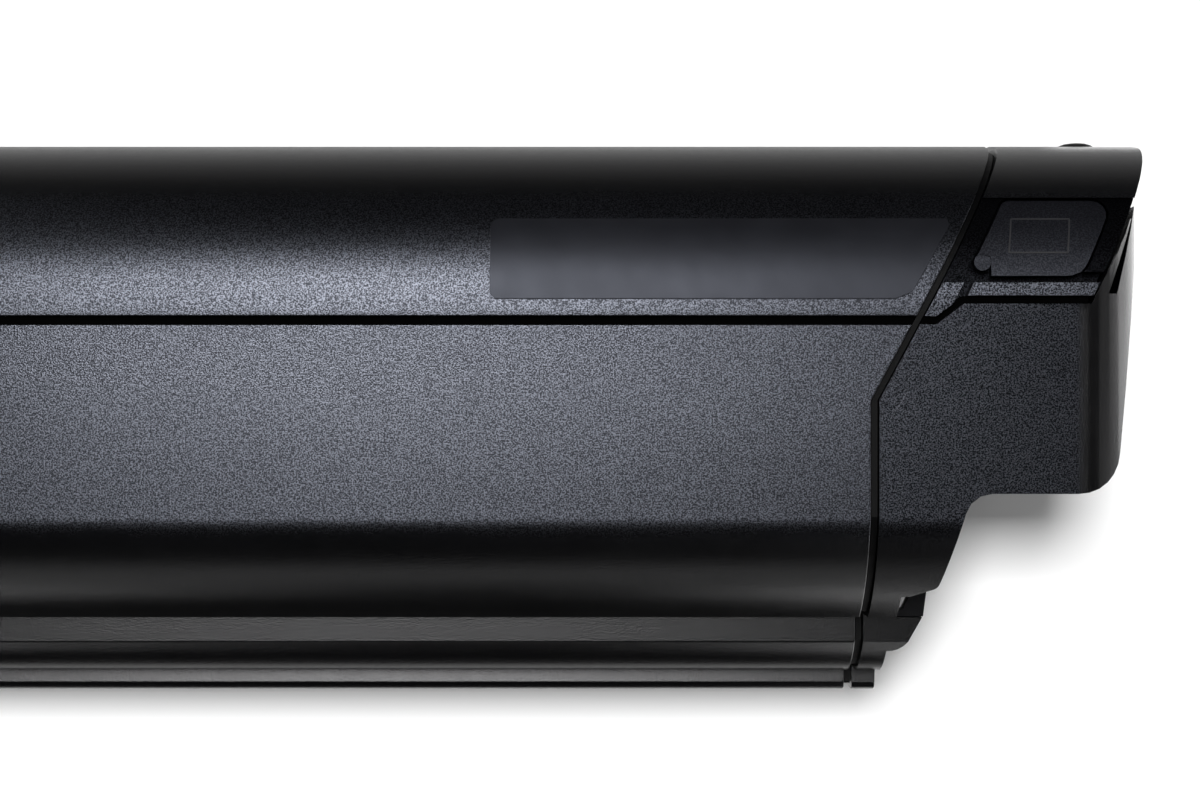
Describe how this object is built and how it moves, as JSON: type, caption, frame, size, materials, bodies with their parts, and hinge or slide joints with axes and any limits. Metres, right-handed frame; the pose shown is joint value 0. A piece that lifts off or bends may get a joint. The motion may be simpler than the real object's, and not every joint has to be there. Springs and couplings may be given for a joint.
{
  "type": "bicycle battery pack",
  "caption": "Slide-in frame battery pack for an electric bicycle: D-shaped shell with a stepped underside, end caps, a hinged charge flap and a press button.",
  "frame": {"origin": "middle of the flat face of the mounting rail, half-way along the pack", "axes": "+X along the pack to the head end with the charge port; +Y from the mounting rail to the crown of the outer cover; +Z across the pack to the side with the charge port. The pack lies on its -Z side."},
  "size_m": [0.3945, 0.0878, 0.0802],
  "materials": {
    "shell": "satin black fine powder texture",
    "cap_plastic": "satin black moulded plastic with a fine spark texture",
    "flap_rubber": "matt dark grey soft rubber",
    "rubber": "matt black rubber",
    "film": "smooth dark grey film",
    "steel": "blackened steel",
    "brass": "plated contact metal",
    "nickel": "nickel-plated steel",
    "aluminium": "sawn extrusion",
    "board": "green solder mask",
    "paper": "insulating paper",
    "foam": "closed-cell foam",
    "wire_red": "silicone insulation",
    "wire_black": "silicone insulation",
    "inner_plastic": "black moulded plastic"
  },
  "bodies": {
    "pack": {"bms_board": "board", "bms_heatsink": "aluminium", "bms_plug": "inner_plastic", "button_switch": "inner_plastic", "cell_frame_left": "inner_plastic", "cell_frame_right": "inner_plastic", "cell_group_01": "nickel", "cell_group_02": "nickel", "cell_group_03": "nickel", "cell_group_04": "nickel", "cell_group_05": "nickel", "cell_group_06": "nickel", "cell_group_07": "nickel", "cell_group_08": "nickel", "cell_group_09": "nickel", "cell_group_10": "nickel", "charge_lead": "wire_black", "charge_pin": "brass", "charge_socket": "inner_plastic", "charge_socket_nut": "steel", "contact_blade_1": "brass", "contact_blade_2": "brass", "contact_blade_3": "brass", "contact_blade_4": "brass", "discharge_connector": "inner_plastic", "foam_pad_head": "foam", "foam_pad_tail": "foam", "head_cap": "cap_plastic", "head_gasket": "rubber", "head_hood": "cap_plastic", "head_screw_1": "steel", "head_screw_2": "steel", "head_screw_3": "steel", "head_screw_4": "steel", "hood_seal_left": "rubber", "hood_seal_right": "rubber", "insulator_bottom": "paper", "insulator_top": "paper", "joint_seal_left": "rubber", "joint_seal_right": "rubber", "lead_negative": "wire_black", "lead_positive": "wire_red", "lock_keeper": "steel", "lower_housing": "shell", "main_fuse": "inner_plastic", "rating_label": "film", "switch_board": "board", "tail_cap": "cap_plastic", "tail_gasket": "rubber", "tail_screw_1": "steel", "tail_screw_2": "steel", "tail_screw_3": "steel", "tail_screw_4": "steel", "top_cover": "shell"},
    "flap": {"charge_flap": "flap_rubber"},
    "button": {"power_button": "rubber"}
  },
  "joints": [
    {"name": "flap_hinge", "type": "hinge", "parent": "pack", "child": "flap", "pos_m": [0.18, 0.0756, 0.03369], "axis": [-1, 0, 0], "range_deg": [0, 100]},
    {"name": "button_press", "type": "slide", "parent": "pack", "child": "button", "axis": [0, -1, 0], "range_m": [0, 0.0012], "stiffness_N_per_m": 1500}
  ]
}
